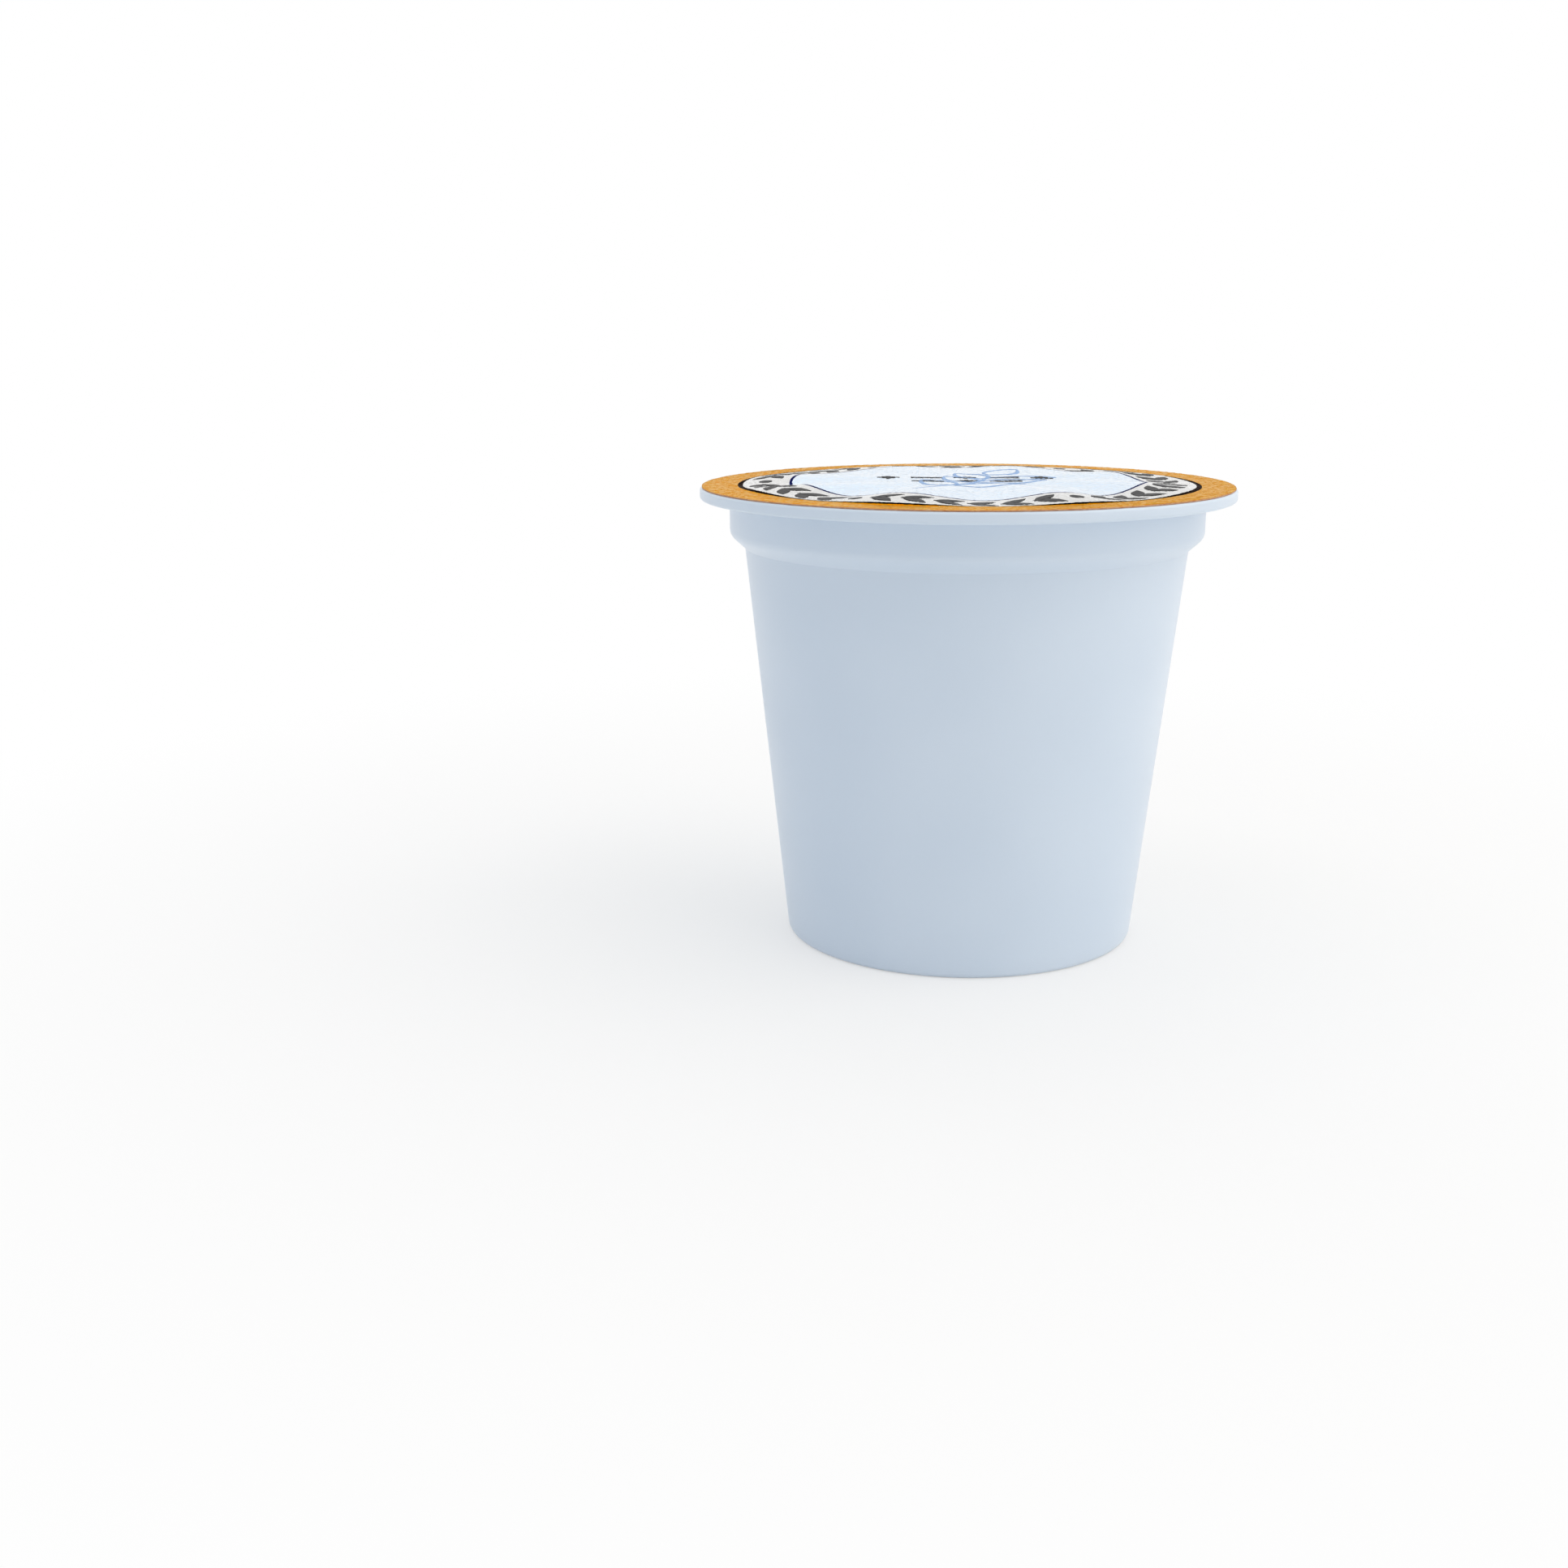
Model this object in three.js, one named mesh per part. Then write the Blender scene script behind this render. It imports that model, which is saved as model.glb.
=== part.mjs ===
// Single-serve coffee pod: a tapered moulded cup with a flange, closed by a printed foil lid.
// Units are millimetres, +Z is up, and the origin is the centre of the foot that it stands on.
// The pod is sealed, so the cup and what it holds are one solid, and the foil lid is the other.

import * as THREE from 'three';

// Cup, outside sizes
const CUP_HEIGHT = 44.0;
const FLANGE_DIAMETER = 51.0;
const FLANGE_THICKNESS = 1.1;
const FLANGE_EDGE_RADIUS = 0.3;
const COLLAR_DIAMETER = 45.3;
const COLLAR_DEPTH = 3.35;
const COLLAR_EDGE_RADIUS = 1.1;
const COLLAR_ROOT_FILLET = 0.3;
const SHOULDER_DROP = 1.3;
const SHOULDER_FILLET = 0.5;
const WALL_TOP_DIAMETER = 42.4;
const BASE_DIAMETER = 34.1;
const BASE_EDGE_RADIUS = 0.6;

// Foot under the base: a flat ring to stand on, round a shallow recess
const FOOT_RING_WIDTH = 3.0;
const FOOT_RECESS_DEPTH = 1.2;
const FOOT_RECESS_FILLET = 0.5;

// Foil lid, sealed face to face on the flange, a little inside its edge
const LID_THICKNESS = 0.12;
const LID_SETBACK = 0.2;

// Print on the lid, each width measured inwards from the one before
const BORDER_WIDTH = 3.3;
const OUTER_LINE_WIDTH = 0.5;
const BAND_WIDTH = 4.45;
const INNER_LINE_WIDTH = 0.25;
const MARK_HEIGHT = 2.9;
const MARK_COUNT = 32;
const SEGMENTS_PER_MARK = 3;

// Fineness of the round shapes
const SEGMENTS = MARK_COUNT * SEGMENTS_PER_MARK;
const ARC_STEP = THREE.MathUtils.degToRad(30);
const LARGEST_SHARE_OF_SIDE = 0.49;

// Colours of the plastic, and of the inks on the foil
const CUP_WHITE = '#e4eaf0';
const BORDER_ORANGE = '#c05a10';
const LINE_BLACK = '#1a0e0c';
const LINE_NAVY = '#1b2347';
const BAND_SILVER = '#b4b5b0';
const CENTRE_BLUE = '#c3d8ec';

// A corner of a half section: its distance from the axis, its height and its rounding.
function corner(radius, height, rounding = 0) {
  return { point: new THREE.Vector2(radius, height), rounding };
}

// The points that replace one corner: the corner itself, or the arc that touches both its sides.
function roundedCorner(before, { point, rounding }, after) {
  if (rounding === 0) {
    return [point];
  }
  const backwards = before.point.clone().sub(point);
  const forwards = after.point.clone().sub(point);
  const room = LARGEST_SHARE_OF_SIDE * Math.min(backwards.length(), forwards.length());
  backwards.normalize();
  forwards.normalize();
  const halfAngle = Math.acos(THREE.MathUtils.clamp(backwards.dot(forwards), -1, 1)) / 2;
  const reach = Math.min(rounding / Math.tan(halfAngle), room);
  const radius = reach * Math.tan(halfAngle);
  const middle = backwards.clone().add(forwards).normalize();
  const centre = point.clone().addScaledVector(middle, radius / Math.sin(halfAngle));
  const start = point.clone().addScaledVector(backwards, reach).sub(centre);
  const turn = Math.PI - 2 * halfAngle;
  const direction = Math.sign(forwards.cross(backwards));
  const steps = Math.max(2, Math.ceil(turn / ARC_STEP));
  const arc = [];
  for (let step = 0; step <= steps; step += 1) {
    const angle = direction * turn * step / steps;
    arc.push(start.clone().rotateAround(new THREE.Vector2(), angle).add(centre));
  }
  return arc;
}

// A solid of revolution about +Z, from a half section that starts and ends on the axis
// and runs anticlockwise: out along the bottom, up the outside and back in along the top.
function revolve(corners) {
  const outline = corners.flatMap((each, index) =>
    roundedCorner(corners[index - 1], each, corners[index + 1]));
  const geometry = new THREE.LatheGeometry(outline, SEGMENTS);
  return geometry.rotateX(Math.PI / 2);
}

// The moulded cup with what is sealed inside it, closed flat under the lid.
function makeFilledCup() {
  const baseRadius = BASE_DIAMETER / 2;
  const recessRadius = baseRadius - FOOT_RING_WIDTH;
  const flangeRadius = FLANGE_DIAMETER / 2;
  const collarRadius = COLLAR_DIAMETER / 2;
  const flangeUnderside = CUP_HEIGHT - FLANGE_THICKNESS;
  const collarBottom = flangeUnderside - COLLAR_DEPTH;
  const shoulderBottom = collarBottom - SHOULDER_DROP;
  const geometry = revolve([
    corner(0, FOOT_RECESS_DEPTH),
    corner(recessRadius, FOOT_RECESS_DEPTH, FOOT_RECESS_FILLET),
    corner(recessRadius, 0),
    corner(baseRadius, 0, BASE_EDGE_RADIUS),
    corner(WALL_TOP_DIAMETER / 2, shoulderBottom, SHOULDER_FILLET),
    corner(collarRadius, collarBottom, COLLAR_EDGE_RADIUS),
    corner(collarRadius, flangeUnderside, COLLAR_ROOT_FILLET),
    corner(flangeRadius, flangeUnderside, FLANGE_EDGE_RADIUS),
    corner(flangeRadius, CUP_HEIGHT, FLANGE_EDGE_RADIUS),
    corner(0, CUP_HEIGHT),
  ]);
  const plastic = new THREE.MeshStandardMaterial({ color: CUP_WHITE, roughness: 0.35, metalness: 0 });
  const cup = new THREE.Mesh(geometry, plastic);
  cup.name = 'filled_cup';
  return cup;
}

// Radii where one printed field ends and the next begins, from the lid's edge inwards.
function printedRadii() {
  const edge = FLANGE_DIAMETER / 2 - LID_SETBACK;
  const outerLine = edge - BORDER_WIDTH;
  const band = outerLine - OUTER_LINE_WIDTH;
  const innerLine = band - BAND_WIDTH;
  const centre = innerLine - INNER_LINE_WIDTH;
  const bandMiddle = (band + innerLine) / 2;
  const markTop = Math.min(bandMiddle + MARK_HEIGHT / 2, band);
  const markBottom = Math.max(bandMiddle - MARK_HEIGHT / 2, innerLine);
  return { edge, outerLine, band, markTop, markBottom, innerLine, centre };
}

// The ink at one place of the lid. The ring of marks is plain blocks of ink.
function inkAt(distance, angle) {
  const radii = printedRadii();
  if (distance > radii.outerLine) {
    return BORDER_ORANGE;
  }
  if (distance > radii.band) {
    return LINE_BLACK;
  }
  if (distance > radii.innerLine) {
    const turn = THREE.MathUtils.euclideanModulo(angle / (2 * Math.PI), 1);
    const placeInMark = THREE.MathUtils.euclideanModulo(turn * MARK_COUNT, 1);
    const inRow = distance < radii.markTop && distance > radii.markBottom;
    const gapStart = (SEGMENTS_PER_MARK - 1) / SEGMENTS_PER_MARK;
    return inRow && placeInMark < gapStart ? LINE_BLACK : BAND_SILVER;
  }
  return distance > radii.centre ? LINE_NAVY : CENTRE_BLUE;
}

// Gives each triangle one flat ink, so the fields of colour keep sharp edges.
function printOn(geometry) {
  const printed = geometry.toNonIndexed();
  const position = printed.getAttribute('position');
  const colours = new Float32Array(position.count * 3);
  const triangle = new THREE.Triangle();
  const middle = new THREE.Vector3();
  const colour = new THREE.Color();
  for (let first = 0; first < position.count; first += 3) {
    triangle.setFromAttributeAndIndices(position, first, first + 1, first + 2);
    triangle.getMidpoint(middle);
    colour.set(inkAt(Math.hypot(middle.x, middle.y), Math.atan2(middle.y, middle.x)));
    for (let point = first; point < first + 3; point += 1) {
      colour.toArray(colours, point * 3);
    }
  }
  printed.setAttribute('color', new THREE.BufferAttribute(colours, 3));
  return printed;
}

// The foil disc, with a row of points wherever the ink changes.
function makeFoilLid() {
  const radii = printedRadii();
  const top = CUP_HEIGHT + LID_THICKNESS;
  const geometry = revolve([
    corner(0, CUP_HEIGHT),
    corner(radii.edge, CUP_HEIGHT),
    corner(radii.edge, top),
    corner(radii.outerLine, top),
    corner(radii.band, top),
    corner(radii.markTop, top),
    corner(radii.markBottom, top),
    corner(radii.innerLine, top),
    corner(radii.centre, top),
    corner(0, top),
  ]);
  const foil = new THREE.MeshStandardMaterial({ vertexColors: true, roughness: 0.4, metalness: 0.35 });
  const lid = new THREE.Mesh(printOn(geometry), foil);
  lid.name = 'foil_lid';
  return lid;
}

const pod = new THREE.Group();
pod.name = 'coffee_pod';
pod.add(makeFilledCup(), makeFoilLid());

export default pod;
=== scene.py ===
# %% [markdown]
# This lesson dresses a single-serve coffee pod: a tapered white plastic cup with a stepped
# collar and a flat flange, closed by a printed and embossed foil lid. The model of the pod's
# solids is loaded first. It fixes where everything goes, in metres, with +Z up and the origin
# at the middle of the foot, so each finer piece is made in place and nothing is fitted later.

# %% Load the solids that everything is built around
import math

import bmesh
import bpy
from mathutils import Matrix, Vector


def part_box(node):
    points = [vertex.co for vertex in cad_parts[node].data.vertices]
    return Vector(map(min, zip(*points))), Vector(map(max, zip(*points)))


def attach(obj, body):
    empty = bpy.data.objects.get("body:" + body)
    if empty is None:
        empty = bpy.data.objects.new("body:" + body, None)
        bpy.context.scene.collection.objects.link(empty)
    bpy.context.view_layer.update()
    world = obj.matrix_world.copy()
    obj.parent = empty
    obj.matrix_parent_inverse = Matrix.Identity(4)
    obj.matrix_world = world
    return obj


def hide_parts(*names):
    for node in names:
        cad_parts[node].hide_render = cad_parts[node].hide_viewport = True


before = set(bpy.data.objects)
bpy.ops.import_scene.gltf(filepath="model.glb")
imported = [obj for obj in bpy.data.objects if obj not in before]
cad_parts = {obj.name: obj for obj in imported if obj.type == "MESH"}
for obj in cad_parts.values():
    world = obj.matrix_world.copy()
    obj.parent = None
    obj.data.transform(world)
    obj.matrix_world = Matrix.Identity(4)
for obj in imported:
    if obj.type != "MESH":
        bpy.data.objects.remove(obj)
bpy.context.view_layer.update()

cup_low, cup_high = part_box("filled_cup")
lid_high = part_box("foil_lid")[1]
print("cup", round(cup_high.z * 1000, 2), "mm tall, lid", round(lid_high.x * 2000, 2), "mm across")

# %% [markdown]
# The camera comes before the shapes, because every choice below is checked through it. The
# photograph was taken from close by, a little above the lid. Its place, tilt and lens were
# worked out from the cup's outline. A camera looks along its own -Z with +Y up, so its
# rotation is written as the three directions that its axes point in.

# %% Place the camera where the photograph was taken
MM = 0.001
SENSOR_WIDTH = 36.0
LENS = 43.74
CAMERA_DISTANCE = 185.1 * MM
CAMERA_HEIGHT = 60.2 * MM
TILT_DOWN = math.radians(13.92)
TURN_LEFT = math.radians(5.44)
ROLL = math.radians(0.23)


def camera_matrix():
    """The camera's place and its three axes, as one matrix."""
    turned = Matrix.Rotation(TURN_LEFT, 4, "Z")
    tilted = Matrix.Rotation(math.pi / 2 - TILT_DOWN, 4, "X")
    rolled = Matrix.Rotation(-ROLL, 4, "Z")
    place = Matrix.Translation((0, -CAMERA_DISTANCE, CAMERA_HEIGHT))
    return place @ turned @ tilted @ rolled


camera_data = bpy.data.cameras.new("photo_camera")
camera_data.sensor_width = SENSOR_WIDTH
camera_data.lens = LENS
camera_data.clip_start = 0.01
camera = bpy.data.objects.new("photo_camera", camera_data)
camera.matrix_world = camera_matrix()
bpy.context.scene.collection.objects.link(camera)
bpy.context.scene.camera = camera
print("camera", [round(value / MM, 1) for value in camera.location], "mm")

# %% [markdown]
# Three small helpers serve every later cell. Colours are written as sRGB hex values, as a
# paint chart gives them, and turned to the linear values that a renderer works in. One
# function adds a node of any kind, with its settings and its links, to any node tree. What
# is linked in may be a socket or a whole node, and a node stands for its first output, so
# a sum can be written as nodes within nodes. The last helper starts a material.

# %% Helpers for colours, nodes and materials
def linear(hex_colour):
    """The linear RGBA of an sRGB hex colour."""
    parts = [int(hex_colour[at:at + 2], 16) / 255 for at in (1, 3, 5)]
    curved = [part / 12.92 if part <= 0.04045 else ((part + 0.055) / 1.055) ** 2.4 for part in parts]
    return (*curved, 1.0)


def add_node(tree, kind, inputs=None, **settings):
    """Adds a node. Each input is a plain value, a socket, or a node to link its first output from."""
    node = tree.nodes.new(kind)
    for name, value in settings.items():
        setattr(node, name, value)
    for socket, value in (inputs or {}).items():
        if isinstance(value, bpy.types.Node):
            value = value.outputs[0]
        if isinstance(value, bpy.types.NodeSocket):
            tree.links.new(value, node.inputs[socket])
        else:
            node.inputs[socket].default_value = value
    return node


def new_material(name):
    """A new material, its node tree and its Principled shader."""
    material = bpy.data.materials.new(name)
    material.use_nodes = True
    tree = material.node_tree
    return material, tree, tree.nodes["Principled BSDF"]


# %% [markdown]
# The cup is a thin injection moulding, round about its axis. A lathe shape needs only half
# of its section: the foot ring and its recess, the tapered wall, the shoulder, the collar and
# the flange. The mould's edges are never sharp, so each corner has a rounding, and the arc
# replaces the corner. The inside corner under the collar is the tightest, so it draws a clear
# line round the wall. Inside the mouth the section drops to the level of the fill, because
# the foil above it sags in places and must not touch it.

# %% Sizes of the cup's half section
CUP_HEIGHT = cup_high.z
FLANGE_RADIUS = cup_high.x
FLANGE_THICKNESS = 1.1 * MM
FLANGE_EDGE = 0.3 * MM
COLLAR_RADIUS = 22.65 * MM
COLLAR_DEPTH = 3.35 * MM
COLLAR_EDGE = 1.1 * MM
SHOULDER_DROP = 1.3 * MM
SHOULDER_FILLET = 0.12 * MM
WALL_TOP_RADIUS = 21.2 * MM
BASE_RADIUS = 17.05 * MM
BASE_EDGE = 0.6 * MM
FOOT_RING_WIDTH = 3.0 * MM
FOOT_RECESS_DEPTH = 1.2 * MM
FOOT_FILLET = 0.5 * MM
FOOT_EDGE = 0.2 * MM
GATE_RADIUS = 1.1 * MM
GATE_DROP = 0.35 * MM
GATE_EDGE = 0.15 * MM
MOUTH_RADIUS = 22.1 * MM
FILL_DROP = 2.6 * MM
CUP_STEPS = 256
LONGEST_SIDE = 1.0 * MM
ARC_STEP = math.radians(8)
LARGEST_SHARE_OF_SIDE = 0.49


def cup_section():
    """The corners of the half section as (radius, height, rounding), anticlockwise."""
    underside = CUP_HEIGHT - FLANGE_THICKNESS
    collar_bottom = underside - COLLAR_DEPTH
    recess_radius = BASE_RADIUS - FOOT_RING_WIDTH
    return [
        (0, FOOT_RECESS_DEPTH - GATE_DROP, 0),
        (GATE_RADIUS, FOOT_RECESS_DEPTH - GATE_DROP, GATE_EDGE),
        (GATE_RADIUS, FOOT_RECESS_DEPTH, GATE_EDGE),
        (recess_radius, FOOT_RECESS_DEPTH, FOOT_FILLET),
        (recess_radius, 0, FOOT_EDGE),
        (BASE_RADIUS, 0, BASE_EDGE),
        (WALL_TOP_RADIUS, collar_bottom - SHOULDER_DROP, SHOULDER_FILLET),
        (COLLAR_RADIUS, collar_bottom, COLLAR_EDGE),
        (COLLAR_RADIUS, underside, FLANGE_EDGE),
        (FLANGE_RADIUS, underside, FLANGE_EDGE),
        (FLANGE_RADIUS, CUP_HEIGHT, FLANGE_EDGE),
        (MOUTH_RADIUS, CUP_HEIGHT, FLANGE_EDGE),
        (MOUTH_RADIUS, CUP_HEIGHT - FILL_DROP, FLANGE_EDGE),
        (0, CUP_HEIGHT - FILL_DROP, 0),
    ]


print("cup half section:", len(cup_section()), "corners")

# %% Turn the corners into a fine outline
def corner_arc(before, corner, after, rounding):
    """The points of the arc that touches both sides of one corner."""
    back = before - corner
    ahead = after - corner
    half_angle = back.angle(ahead) / 2
    room = LARGEST_SHARE_OF_SIDE * min(back.length, ahead.length)
    reach = min(rounding / math.tan(half_angle), room)
    radius = reach * math.tan(half_angle)
    middle = (back.normalized() + ahead.normalized()).normalized()
    centre = corner + middle * (radius / math.sin(half_angle))
    start = corner + back.normalized() * reach - centre
    turn = math.copysign(math.pi - 2 * half_angle, ahead.x * back.y - ahead.y * back.x)
    steps = max(3, math.ceil(abs(turn) / ARC_STEP))
    return [centre + Matrix.Rotation(turn * step / steps, 2) @ start for step in range(steps + 1)]


def fine_outline(corners):
    """The outline with its arcs, and with no side longer than LONGEST_SIDE."""
    flat = [Vector(corner[:2]) for corner in corners]
    points = []
    for index, (radius, height, rounding) in enumerate(corners):
        arc = [flat[index]]
        if rounding:
            arc = corner_arc(flat[index - 1], flat[index], flat[index + 1], rounding)
        if points:
            side = arc[0] - points[-1]
            pieces = math.ceil(side.length / LONGEST_SIDE)
            points += [points[-1] + side * step / pieces for step in range(1, pieces)]
        points += arc
    return points


cup_outline = fine_outline(cup_section())
print("cup outline:", len(cup_outline), "points")

# %% [markdown]
# Spinning the outline about the axis gives the cup, as a lathe or a potter's wheel would.
# The first and last rings then lie on each other, and so do the points at the axis, so they
# are merged, and the faces are made to point outwards.

# %% Spin the outline into the cup
def add_object(name, shape, *materials):
    """Links an object that holds a finished bmesh, smooth shaded."""
    mesh = bpy.data.meshes.new(name)
    shape.to_mesh(mesh)
    shape.free()
    mesh.shade_smooth()
    for material in materials:
        mesh.materials.append(material)
    made = bpy.data.objects.new(name, mesh)
    bpy.context.scene.collection.objects.link(made)
    return made


def spin(name, outline):
    """A closed solid of revolution about the vertical axis."""
    shape = bmesh.new()
    points = [shape.verts.new((point.x, 0, point.y)) for point in outline]
    sides = [shape.edges.new(pair) for pair in zip(points, points[1:])]
    bmesh.ops.spin(shape, geom=points + sides, cent=(0, 0, 0), axis=(0, 0, 1),
                   angle=2 * math.pi, steps=CUP_STEPS)
    bmesh.ops.remove_doubles(shape, verts=shape.verts, dist=0.001 * MM)
    bmesh.ops.recalc_face_normals(shape, faces=shape.faces)
    return add_object(name, shape)


cup = spin("moulded_cup", cup_outline)
print("cup:", len(cup.data.polygons), "faces")

# %% [markdown]
# The cup's plastic is white polypropylene, injection moulded in a polished mould. It is
# milky: light goes a millimetre or so into it and comes out again, which softens its edges
# and its shading. Its skin is semi-gloss, with a faint orange peel from the melt cooling, and
# slow waves where the wall shrank unevenly. Both are too low for geometry, so they are bump.

# %% Injection moulded white polypropylene
PLASTIC_TINT = "#dae7f5"
PLASTIC_SHADE = "#d4e2f1"
PEEL_SIZE = 0.7 * MM
WAVE_SIZE = 9 * MM
PEEL_DEPTH = 0.0008 * MM
WAVE_DEPTH = 0.008 * MM
PLASTIC_ROUGHNESS = (0.28, 0.36)
PLASTIC_IOR = 1.49
MILKINESS = 0.12
MILKY_DEPTH = 1.2 * MM


def moulded_plastic():
    """Milky white plastic with the skin of a polished mould."""
    material, tree, shader = new_material("injection_moulded_white_polypropylene")
    place = add_node(tree, "ShaderNodeTexCoord").outputs["Object"]
    wave = add_node(tree, "ShaderNodeTexNoise", {"Vector": place, "Scale": 1 / WAVE_SIZE, "Detail": 0.0})
    peel = add_node(tree, "ShaderNodeTexNoise", {"Vector": place, "Scale": 1 / PEEL_SIZE, "Detail": 1.0})
    colour = add_node(tree, "ShaderNodeMix", {"Factor": wave.outputs["Fac"]}, data_type="RGBA")
    colour.inputs["A"].default_value = linear(PLASTIC_TINT)
    colour.inputs["B"].default_value = linear(PLASTIC_SHADE)
    gloss = add_node(tree, "ShaderNodeMapRange", {
        "Value": wave.outputs["Fac"], "To Min": PLASTIC_ROUGHNESS[0], "To Max": PLASTIC_ROUGHNESS[1]})
    waves = add_node(tree, "ShaderNodeBump", {"Height": wave.outputs["Fac"], "Distance": WAVE_DEPTH})
    skin = add_node(tree, "ShaderNodeBump", {
        "Height": peel.outputs["Fac"], "Distance": PEEL_DEPTH, "Normal": waves.outputs["Normal"]})
    tree.links.new(colour.outputs["Result"], shader.inputs["Base Color"])
    tree.links.new(gloss.outputs["Result"], shader.inputs["Roughness"])
    tree.links.new(skin.outputs["Normal"], shader.inputs["Normal"])
    shader.inputs["IOR"].default_value = PLASTIC_IOR
    shader.inputs["Subsurface Weight"].default_value = MILKINESS
    shader.inputs["Subsurface Radius"].default_value = (1.0, 1.0, 1.0)
    shader.inputs["Subsurface Scale"].default_value = MILKY_DEPTH
    return material


cup.data.materials.append(moulded_plastic())
print("cup material:", cup.data.materials[0].name)

# %% [markdown]
# The lid is foil, sealed flat on the flange. Over the mouth it is free, so it domes a little,
# and it puckers in waves round the mouth, because a flat disc can't dome without spare foil.
# The waves are highest at the front of the photograph and fade towards the back.
# It was also rolled between engraved cylinders, which left worm-like ridges all over it.
# One rule gives the height of the foil at any place. It is a node group of its own, because
# the foil and the ink that lies on it both have to follow it. With r as the share of the
# mouth's radius, the dome falls as 1 - r^4 and the waves follow r^2 (1 - r^4). That product
# is never more than RING_PEAK, and dividing by it makes PUCKER_HEIGHT a true height.

# %% Sizes of the foil's relief
LID_RADIUS = lid_high.x
LID_TOP = lid_high.z
DOME_HEIGHT = 0.43 * MM
PUCKER_HEIGHT = 0.33 * MM
PUCKER_COUNT = 8
PUCKER_TURN = math.radians(-150)
PUCKER_DRIFT = 3.0
PUCKER_CREASE = 0.45
PUCKER_AT_BACK = 0.3
RING_PEAK = 0.385
EMBOSS_SIZE = 0.62 * MM
EMBOSS_DEPTH = 0.018 * MM
EMBOSS_WIDTH = 0.12
EMBOSS_BREAKS = (0.4, 0.5)
EMBOSS_DETAIL = 0.6


def new_group(name, inputs, outputs):
    """A geometry node tree with named sockets: the tree, what it is given and what it gives."""
    tree = bpy.data.node_groups.new(name, "GeometryNodeTree")
    for label, kind, value in inputs:
        socket = tree.interface.new_socket(label, in_out="INPUT", socket_type="NodeSocket" + kind)
        if value is not None:
            socket.default_value = value
    for label, kind in outputs:
        tree.interface.new_socket(label, in_out="OUTPUT", socket_type="NodeSocket" + kind)
    return tree, tree.nodes.new("NodeGroupInput").outputs, tree.nodes.new("NodeGroupOutput").inputs


def embossing(tree, place):
    """The broken ridges of the embossing: 1 on a ridge, 0 between ridges."""
    noise = add_node(tree, "ShaderNodeTexNoise", {
        "Vector": place, "Scale": 1 / EMBOSS_SIZE, "Detail": EMBOSS_DETAIL}, noise_dimensions="2D")
    offset = add_node(tree, "ShaderNodeMath", {0: noise, 1: 0.5}, operation="SUBTRACT")
    from_middle = add_node(tree, "ShaderNodeMath", {0: offset}, operation="ABSOLUTE")
    ridge = add_node(tree, "ShaderNodeMapRange", {
        "Value": from_middle, "From Max": EMBOSS_WIDTH, "To Min": 1.0, "To Max": 0.0},
        interpolation_type="SMOOTHSTEP")
    channels = add_node(tree, "ShaderNodeSeparateXYZ", {0: noise.outputs["Color"]}).outputs
    whole = add_node(tree, "ShaderNodeMapRange", {
        "Value": channels["Y"], "From Min": EMBOSS_BREAKS[0], "From Max": EMBOSS_BREAKS[1]},
        interpolation_type="SMOOTHSTEP")
    return add_node(tree, "ShaderNodeMath", {0: ridge, 1: whole}, operation="MULTIPLY")


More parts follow.
